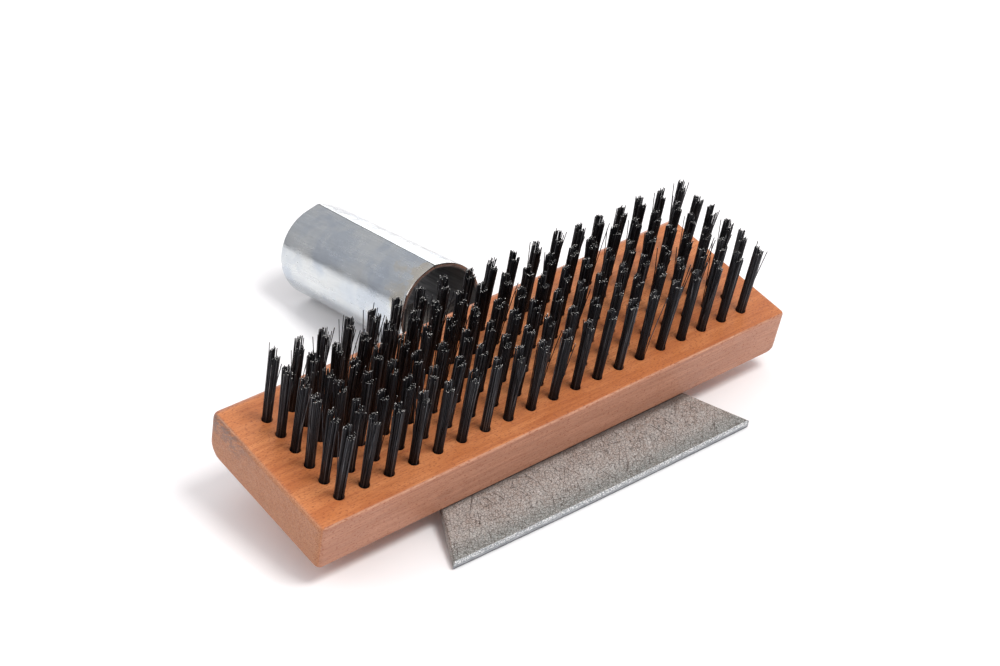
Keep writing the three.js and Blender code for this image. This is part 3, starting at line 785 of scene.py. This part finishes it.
def bristles():
    finishes = [
        wire_material("bristle_wire", (0.014, 0.0145, 0.018), (0.036, 0.037, 0.043)),
        # A paler copy of the wire finish: a painted highlight on some wires.
        wire_material("bristle_wire_painted_highlight", (0.05, 0.052, 0.06), (0.14, 0.143, 0.155)),
        cut_material(),
    ]
    for column in range(COLUMNS):
        paths = []
        for row in range(ROWS):
            shift = np.array((column_x(column), row_y(row), 0))
            loose = LOOSE_BACK_LEFT if column < 8 and row > 2 else LOOSE
            paths += [np.array(path) + shift for path in tuft_paths(loose)]
        vertices, faces, materials = wires(paths)
        label = f"{column + 1:02d}"
        piece = outward(new_object(f"tuft_wires_{label}", vertices, faces, brush, materials))
        piece.data.shade_smooth()
        piece.data.set_sharp_from_angle(angle=math.radians(65))
        finish_piece(piece, "bristle_wire", finishes, f"tuft_column_{label}")


def anchors():
    """Flat wires, nipped a little at each tuft that they hold."""
    half = (COLUMNS - 1) / 2 * COLUMN_PITCH + ANCHOR_BITE
    steel = steel_material("anchor_wire", (0.5, 0.51, 0.52), (0.3, 0.3, 0.31), brush, (0.05, 2, 2))
    section = rounded_loop(
        -ANCHOR_THICKNESS / 2,
        ANCHOR_THICKNESS / 2,
        -ANCHOR_HEIGHT / 2,
        ANCHOR_HEIGHT / 2,
        (0.1,) * 4,
        3,
    )
    steps = 228
    stations = [-half + 2 * half * k / steps for k in range(steps + 1)]
    for row in range(ROWS):
        vertices = []
        for x in stations:
            from_tuft = (x / COLUMN_PITCH + 0.5) % 1 - 0.5
            nip = 1 - 0.18 * math.exp(-((from_tuft / 0.12) ** 2))
            sway = 0.06 * math.sin(x * 0.21 + row)
            vertices += [(x, row_y(row) + sway + a, ANCHOR_Z + b * nip) for a, b in section]
        faces = tube_faces(len(stations), len(section))
        faces += end_caps(len(section), len(vertices))
        piece = outward(new_object(f"anchor_strip_{row + 1}", vertices, faces, brush))
        smooth(piece, 40)
        finish_piece(piece, "anchor_wire", [steel], f"anchor_row_{row + 1}")


# ---------------------------------------------------------------- scraper plate

DIP = math.radians(SOCKET_DIP)
BEND_OUTER = BEND_INNER + PLATE_THICKNESS
TONGUE_TOP_AT_RIM = SOCKET_RIM_Z - TONGUE_TOP / math.cos(DIP)
BEND_APEX = SOCKET_RIM_Y - (PLATE_TOP - TONGUE_TOP_AT_RIM) / math.tan(DIP)
BEND_START = BEND_APEX - BEND_OUTER * math.tan(DIP / 2)
TONGUE_END = SOCKET_RIM_Y - TONGUE_FLOOR * math.sin(DIP) + TONGUE_IN_SOCKET * math.cos(DIP)


def bent(v, h):
    """(y, z) of a point v along the flat pattern and h above the plate's lower face."""
    arc = BEND_OUTER * DIP
    turn = min(max((v - BEND_START) / BEND_OUTER, 0), DIP)
    radius = BEND_INNER + h
    y = min(v, BEND_START) + radius * math.sin(turn)
    z = PLATE_TOP - BEND_OUTER + radius * math.cos(turn)
    beyond = max(v - BEND_START - arc, 0)
    return y + beyond * math.cos(DIP), z - beyond * math.sin(DIP)


def plate_half_width(y):
    """Half the plate's width where the plan reaches y."""
    from_edge = min(y, SHOULDER_Y) + PLATE_REACH
    fan = PLATE_HALF_EDGE - from_edge * math.tan(math.radians(PLATE_FLARE))
    neck = SHOULDER_Y + SHOULDER_DEPTH
    if y <= SHOULDER_Y:
        return fan
    if y <= neck:
        share = (y - SHOULDER_Y) / SHOULDER_DEPTH
        return fan + (TONGUE_HALF + SHOULDER_FILLET - fan) * share
    if y <= neck + SHOULDER_FILLET:
        share = math.sqrt((y - neck) / SHOULDER_FILLET)
        return TONGUE_HALF + SHOULDER_FILLET * (1 - share) ** 2
    into_corner = max(y - (TONGUE_END - TONGUE_CORNER), 0) / TONGUE_CORNER
    return TONGUE_HALF - TONGUE_CORNER * (1 - math.sqrt(max(1 - into_corner, 0))) ** 2


def scraper_plate():
    """The fan of sheet, bent down behind the block into the tongue, with a sheared front edge."""
    thick = PLATE_THICKNESS
    flat_end = BEND_START + BEND_OUTER * DIP
    flat_end += (TONGUE_END - bent(flat_end, thick)[0]) / math.cos(DIP)
    lip = 0.45
    front = -PLATE_REACH
    along_top = [front + lip, front + 0.7, front + 1.1, front + 1.8]
    along_top += np.linspace(front + 3, BEND_START, 26).tolist()
    along_top += np.linspace(BEND_START, BEND_START + BEND_OUTER * DIP, 5).tolist()[1:]
    along_top += np.linspace(BEND_START + BEND_OUTER * DIP + 0.6, flat_end - 0.3, 30).tolist()
    loop = [(front, h) for h in (0.3, 0.8, 1.3, 1.8, 2.2)]
    loop += [
        (front + lip * (1 - math.cos(a)), thick - lip * (1 - math.sin(a))) for a in (0.3, 0.7, 1.1)
    ]
    front_points = len(loop)
    loop += [(v, thick) for v in along_top]
    loop += [(flat_end, thick - 0.3), (flat_end, 0.3)]
    loop += [(v, 0) for v in reversed(along_top)]
    loop += [(front + 0.1, 0.1)]

    # Rounded side edges: how far each station is drawn in, and how much thinner it is.
    edge_insets = [(0.0, 0.42), (0.12, 0.16), (0.32, 0.0)]
    steps = 250
    vertices = []
    stations = edge_insets + [(None, 0.0)] * (steps - 1) + edge_insets[::-1]
    for index, (drawn_in, squeeze) in enumerate(stations):
        for v, h in loop:
            held = min(max(h, squeeze), thick - squeeze)
            share = min(max(2 * (index - 2) / steps - 1, -1), 1)
            drawn_back = EDGE_BOW * share**2 * max(1 - (v - front) / 6, 0)
            y, z = bent(v + drawn_back, held)
            half = plate_half_width(y)
            if drawn_in is None:
                x = (half - edge_insets[-1][0]) * share
            else:
                x = (half - drawn_in) * math.copysign(1, share)
            z += 0.07 * ripple(x, y, 0, 34, 1)
            near_front = max(0, 1 - (v - front) / 1.3)
            if near_front > 0:
                crumb = ripple(x, h, v, 1.1, 2) + 0.7 * ripple(x, h, v, 0.5, 3)
                share = near_front * min(max((h - 1.2) / 0.8, 0.12), 1)
                y += 0.3 * share * crumb
                z += 0.22 * share * ripple(x, h, v, 0.8, 4)
            vertices.append((x, y, z))
    size = len(loop)
    faces = tube_faces(len(stations), size)
    # Each side is closed with quads from the top row down to the bottom row, which the loop runs
    # through backwards, and with one face at either end.
    top = list(range(front_points, front_points + len(along_top)))
    last_bottom = front_points + 2 * len(along_top) + 1
    bottom = [last_bottom - k for k in range(len(along_top))]
    for base in (0, (len(stations) - 1) * size):
        for k in range(len(along_top) - 1):
            faces.append([base + i for i in (top[k], top[k + 1], bottom[k + 1], bottom[k])])
        head = list(range(front_points + 1)) + list(range(bottom[0], size))
        faces.append([base + i for i in head])
        tail = [top[-1], top[-1] + 1, top[-1] + 2, bottom[-1]]
        faces.append([base + i for i in tail])
    piece = outward(new_object("scraper_blade", vertices, faces, unit))
    hole = [(PLATE_HOLE_RADIUS, PLATE_BOTTOM - 2), (PLATE_HOLE_RADIUS, PLATE_TOP + 2)]
    holes = [turned(hole, 28, place) for place in SCREW_PLACES.values()]
    cut(piece, many("plate_holes", holes, brush))
    smooth(piece, 32)
    finish_piece(piece, "scraper_steel", [scraper_material()], "scraper_plate")


# ---------------------------------------------------------------- socket and welds

def handle_socket():
    """A rolled tube with rounded rims and a butt seam that drifts across its top.

    The tube is a little peaked along the seam, more so towards its far end.
    """
    soft = 0.35
    outer, inner = SOCKET_RADIUS, BORE
    profile = [(outer, y) for y in np.linspace(soft, SOCKET_LENGTH - soft, 38)]
    profile += [(outer - 0.1, SOCKET_LENGTH - 0.1), (outer - soft, SOCKET_LENGTH)]
    profile += [(inner + soft, SOCKET_LENGTH), (inner + 0.1, SOCKET_LENGTH - 0.1)]
    profile += [(inner, y) for y in np.linspace(SOCKET_LENGTH - soft, soft, 14)]
    profile += [(inner + 0.1, 0.1), (inner + soft, 0), (outer - soft, 0), (outer - 0.1, 0.1)]
    near_seam = [d / SOCKET_RADIUS for d in (-2, -1, -0.4, -0.16, -0.05, 0.05, 0.16, 0.4, 1, 2)]
    rest = np.linspace(near_seam[-1], near_seam[0] + 2 * math.pi, 172)[1:-1].tolist()
    offsets = near_seam + rest
    vertices = []
    for radius, y in profile:
        for offset in offsets:
            seam_x = SEAM_NEAR_X + SEAM_DRIFT * y / SOCKET_LENGTH
            angle = math.acos(seam_x / SOCKET_RADIUS) + offset
            from_seam = abs((offset + math.pi) % (2 * math.pi) - math.pi) * SOCKET_RADIUS
            r = radius
            r += 0.06 * ripple(10 * math.cos(angle), y / 2, 10 * math.sin(angle), 9, 5)
            peak = SEAM_PEAK * (0.4 + 0.6 * y / SOCKET_LENGTH)
            r += peak * max(1 - from_seam / SEAM_RUN, 0) ** 2
            if radius > (outer + inner) / 2:
                r -= 0.3 * math.exp(-((from_seam / 0.12) ** 2))
            vertices.append((r * math.cos(angle), y, r * math.sin(angle)))
    faces = tube_faces(len(profile), len(offsets), wrap_rings=True)
    piece = outward(new_object("socket_tube", vertices, faces, socket))
    smooth(piece, 40)
    finish_piece(piece, "socket_zinc", [socket_material()], "handle_socket")


def resampled(loop, count):
    """Evenly spaced points along a closed loop."""
    points = np.array(loop + loop[:1], float)
    lengths = np.r_[0, np.cumsum(np.linalg.norm(np.diff(points, axis=0), axis=1))]
    at = np.linspace(0, lengths[-1], count + 1)[:-1]
    return np.c_[np.interp(at, lengths, points[:, 0]), np.interp(at, lengths, points[:, 1])]


def weld_bead(name, loop, length, ripple_pitch, material, node):
    """A section in (x, z) run along the tube, with overlapping pool ripples and domed ends."""
    section = resampled(loop, 40)
    middle = section.mean(0)
    stations = np.linspace(0, 1, 61)
    vertices = []
    for share in stations:
        y = 0.5 + share * length
        end = min(share, 1 - share) * length
        dome = math.sqrt(1 - (1 - min(end / 1.4, 1)) ** 2) * 0.75 + 0.2
        pool = (y / ripple_pitch) % 1
        bulge = 0.93 + 0.05 * math.sqrt(max(1 - pool, 0))
        for x, z in section:
            grain = 1 + 0.04 * ripple(x, y, z, 1.3, 6)
            point = middle + (np.array((x, z)) - middle) * dome * bulge * grain
            vertices.append((point[0], y + 0.25 * (abs(x - middle[0]) < 1), point[1]))
    faces = tube_faces(len(stations), len(section))
    faces += end_caps(len(section), len(vertices))
    piece = outward(new_object(name, vertices, faces, socket))
    smooth(piece, 50)
    finish_piece(piece, "weld_metal", [material], node)


def welds():
    material = weld_material()
    radius = BORE - GAP
    floor = TONGUE_TOP - GAP
    leg = 4.0
    arc_start, arc_end = -math.asin(floor / radius), -math.asin((floor - leg) / radius)
    arc = [arc_start + (arc_end - arc_start) * k / 8 for k in range(9)]
    corner = radius * math.cos(arc_start)
    for side, label in ((-1, "left"), (1, "right")):
        loop = [(side * (corner - leg), -floor)]
        loop += [(side * radius * math.cos(a), radius * math.sin(a)) for a in arc]
        weld_bead(f"weld_{label}", loop, 12.0, 1.5, material, f"weld_bead_{label}")
    half = math.acos((TONGUE_FLOOR + GAP) / radius)
    loop = [
        (radius * math.cos(a), radius * math.sin(a))
        for a in (-math.pi / 2 - half + 2 * half * k / 16 for k in range(17))
    ]
    weld_bead("weld_under", loop, 3.0, 1.5, material, "weld_bead_under")


# ---------------------------------------------------------------- screws

def screws():
    """Slotted pan-head wood screws with a cut thread."""
    material = steel_material(
        "screw_zinc", (0.66, 0.65, 0.58), (0.5, 0.48, 0.4), brush, (0.9, 0.9, 0.3)
    )
    under_head = PLATE_BOTTOM - GAP
    shank, head, height, length, point = 1.75, 3.9, 2.3, 16.0, 3.5
    pitch, ridge, sides = 1.6, 0.42, 32
    plain, run_in = 3.4, 1.5
    for label, (x, y) in SCREW_PLACES.items():
        profile = [(0.35, -height)]
        profile += [
            (head * math.sin(a) ** 0.8, -height + height * 0.75 * (1 - math.cos(a)))
            for a in (math.radians(k) for k in (20, 35, 50, 65, 80, 90))
        ]
        profile += [(head, -0.12), (head - 0.12, 0), (shank + 0.35, 0), (shank + 0.1, 0.3)]
        profile += [(None, z) for z in np.arange(0.5, length - 0.1, 0.2)]
        vertices = []
        for radius, z in profile:
            for k in range(sides):
                angle = 2 * math.pi * k / sides
                r = radius
                if r is None:
                    taper = min(1, max(0.06, (length - z) / point))
                    phase = (z / pitch - k / sides) % 1
                    crest = max(0, 1 - abs(phase - 0.5) / 0.28)
                    crest *= min(1, max(0, (z - plain) / run_in))
                    r = (shank + ridge * crest) * taper
                vertices.append((x + r * math.cos(angle), y + r * math.sin(angle), under_head + z))
        faces = tube_faces(len(profile), sides)
        faces += end_caps(sides, len(vertices))
        piece = outward(new_object(f"screw_{label}", vertices, faces, brush))
        turn = Matrix.Rotation(rng.uniform(0, math.pi), 4, "Z")
        slot_frame = brush @ Matrix.Translation((x, y, under_head - height)) @ turn
        slot = rounded_loop(-0.5, 0.5, -1, 1.1, (0.05, 0.05, 0.15, 0.15), 2)
        cut(piece, prism_along_x("slot", slot, 5, slot_frame))
        smooth(piece, 35)
        finish_piece(piece, "screw_zinc", [material], f"wood_screw_{label}")


# ---------------------------------------------------------------- studio

def studio():
    half_floor = 8.0
    corners = [(half_floor * x, half_floor * y, 0) for x, y in ((-1, -1), (1, -1), (1, 1), (-1, 1))]
    mesh = bpy.data.meshes.new("studio_floor")
    mesh.from_pydata(corners, [], [(0, 1, 2, 3)])
    mesh.materials.append(floor_material())
    floor = bpy.data.objects.new("studio_floor", mesh)
    bpy.context.scene.collection.objects.link(floor)

    world = bpy.data.worlds.new("studio")
    bpy.context.scene.world = world
    world.use_nodes = True
    nodes, links = world.node_tree.nodes, world.node_tree.links
    split = nodes.new("ShaderNodeSeparateXYZ")
    links.new(nodes.new("ShaderNodeTexCoord").outputs["Generated"], split.inputs[0])
    ramp = nodes.new("ShaderNodeValToRGB")
    ramp.color_ramp.elements[0].position = 0.0
    ramp.color_ramp.elements[0].color = (0.30, 0.30, 0.32, 1)
    ramp.color_ramp.elements[1].position = 0.8
    ramp.color_ramp.elements[1].color = (1.0, 0.98, 1.0, 1)
    sky = ((0.05, (0.34, 0.34, 0.36)), (0.14, (0.56, 0.56, 0.59)), (0.5, (0.62, 0.62, 0.65)))
    for height, tone in sky:
        ramp.color_ramp.elements.new(height).color = (*tone, 1)
    links.new(split.outputs["Z"], ramp.inputs["Fac"])
    links.new(ramp.outputs["Color"], nodes["Background"].inputs["Color"])
    nodes["Background"].inputs["Strength"].default_value = 0.77

    def lamp(name, azimuth, elevation, distance, width, power, colour):
        """A square soft light at a heading from +Y towards +X, turned to the brush."""
        a, e = math.radians(azimuth), math.radians(elevation)
        away = Vector((math.sin(a) * math.cos(e), math.cos(a) * math.cos(e), math.sin(e)))
        light = bpy.data.lights.new(name, "AREA")
        light.size = width
        light.energy = power
        light.color = colour
        made = bpy.data.objects.new(name, light)
        made.location = away * distance
        made.rotation_euler = away.to_track_quat("Z", "Y").to_euler()
        bpy.context.scene.collection.objects.link(made)

    lamp("key_light", 165, 62, 1.3, 0.42, 10, (1.0, 0.985, 0.97))
    lamp("top_light", 20, 80, 1.3, 0.8, 1.5, (1.0, 1.0, 1.0))
    lamp("back_light", 48, 14, 1.5, 0.8, 5, (1.0, 1.0, 1.0))
    lamp("fill_light", 300, 38, 1.4, 0.8, 3.8, (1.0, 0.99, 0.99))
    bpy.context.scene.view_settings.view_transform = "Standard"


def camera():
    heading, elevation, roll = (math.radians(a) for a in (40.464, 32.339, 1.221))
    distance = 0.7061
    aim = Vector((0, -28.546, 37.084)) * MM
    forward = Vector(
        (
            math.sin(heading) * math.cos(elevation),
            math.cos(heading) * math.cos(elevation),
            -math.sin(elevation),
        )
    )
    data = bpy.data.cameras.new("camera")
    data.lens = 77.116
    data.sensor_width = 36
    data.clip_start, data.clip_end = 0.02, 20
    made = bpy.data.objects.new("camera", data)
    upright = forward.to_track_quat("-Z", "Y")
    made.matrix_world = (
        Matrix.Translation(aim - forward * distance)
        @ upright.to_matrix().to_4x4()
        @ Matrix.Rotation(roll, 4, "Z")
    )
    bpy.context.scene.collection.objects.link(made)
    bpy.context.scene.camera = made


camera()
wood_block()
bristles()
anchors()
scraper_plate()
handle_socket()
welds()
screws()
studio()
